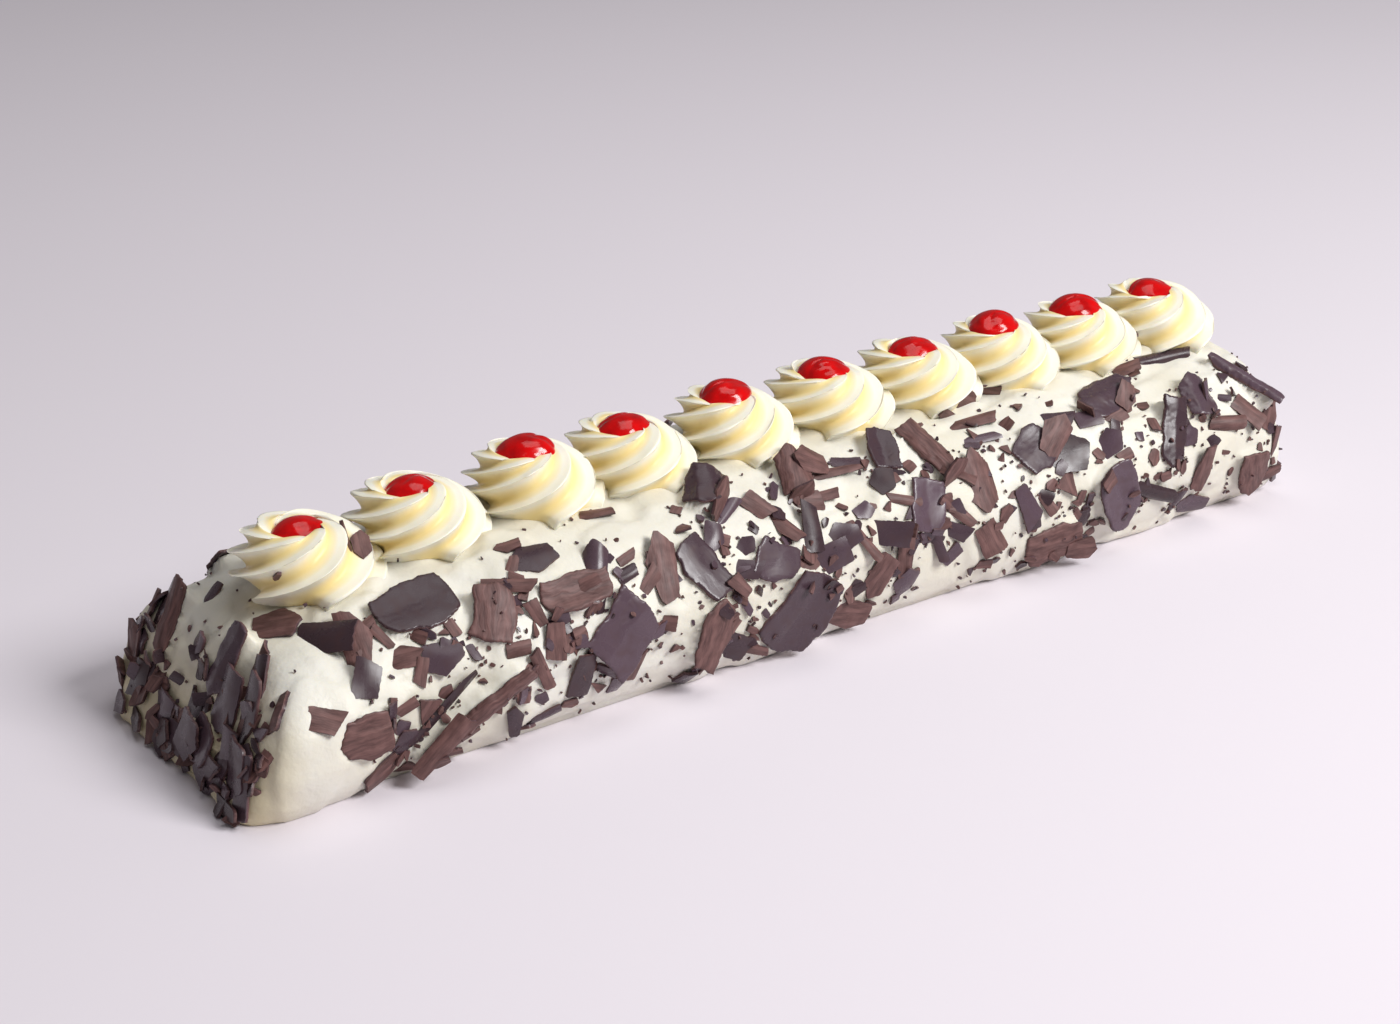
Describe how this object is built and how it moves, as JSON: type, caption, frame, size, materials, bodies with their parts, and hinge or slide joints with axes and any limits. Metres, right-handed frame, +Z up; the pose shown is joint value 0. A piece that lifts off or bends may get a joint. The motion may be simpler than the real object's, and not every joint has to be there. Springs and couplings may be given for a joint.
{
  "type": "swiss roll cake",
  "caption": "Long cream-coated Swiss roll cake with a row of piped rosettes, each holding a cherry, and chocolate shards pressed into its sides and ends.",
  "frame": {"origin": "middle of the flat base, on the surface that the cake stands on", "axes": "+X along the roll, towards the end that is upright in the source picture; +Z up; -Y is the front, the side that the source picture shows"},
  "size_m": [0.4356, 0.1205, 0.0776],
  "materials": {
    "cream": "soft whipped cream, spread by hand, satin",
    "buttercream": "piped buttercream, smooth and softly shining",
    "cherry": "glazed cherry, wet gloss",
    "chocolate": "dark chocolate, satin on one side and rough on the other"
  },
  "bodies": {
    "root": {"roll": "cream", "rosette_01": "buttercream", "rosette_02": "buttercream", "rosette_03": "buttercream", "rosette_04": "buttercream", "rosette_05": "buttercream", "rosette_06": "buttercream", "rosette_07": "buttercream", "rosette_08": "buttercream", "rosette_09": "buttercream", "rosette_10": "buttercream", "cherry_01": "cherry", "cherry_02": "cherry", "cherry_03": "cherry", "cherry_04": "cherry", "cherry_05": "cherry", "cherry_06": "cherry", "cherry_07": "cherry", "cherry_08": "cherry", "cherry_09": "cherry", "cherry_10": "cherry", "chocolate_shard_01": "chocolate", "chocolate_shard_02": "chocolate", "chocolate_shard_03": "chocolate", "chocolate_shard_04": "chocolate", "chocolate_shard_05": "chocolate", "chocolate_shard_06": "chocolate", "chocolate_shard_07": "chocolate", "chocolate_shard_08": "chocolate", "chocolate_shard_09": "chocolate", "chocolate_shard_10": "chocolate", "chocolate_shard_11": "chocolate", "chocolate_shard_12": "chocolate", "chocolate_shard_13": "chocolate", "chocolate_shard_14": "chocolate", "chocolate_shard_15": "chocolate", "chocolate_shard_16": "chocolate", "chocolate_shard_17": "chocolate", "chocolate_shard_18": "chocolate", "chocolate_shard_19": "chocolate", "chocolate_shard_20": "chocolate", "chocolate_shard_21": "chocolate", "chocolate_shard_22": "chocolate", "chocolate_shard_23": "chocolate", "chocolate_shard_24": "chocolate", "chocolate_shard_25": "chocolate", "chocolate_shard_26": "chocolate", "chocolate_shard_27": "chocolate", "chocolate_shard_28": "chocolate", "chocolate_shard_29": "chocolate", "chocolate_shard_30": "chocolate", "chocolate_shard_31": "chocolate", "chocolate_shard_32": "chocolate", "chocolate_shard_33": "chocolate", "chocolate_shard_34": "chocolate", "chocolate_shard_35": "chocolate", "chocolate_shard_36": "chocolate", "chocolate_shard_37": "chocolate", "chocolate_shard_38": "chocolate", "chocolate_shard_39": "chocolate"}
  },
  "joints": []
}
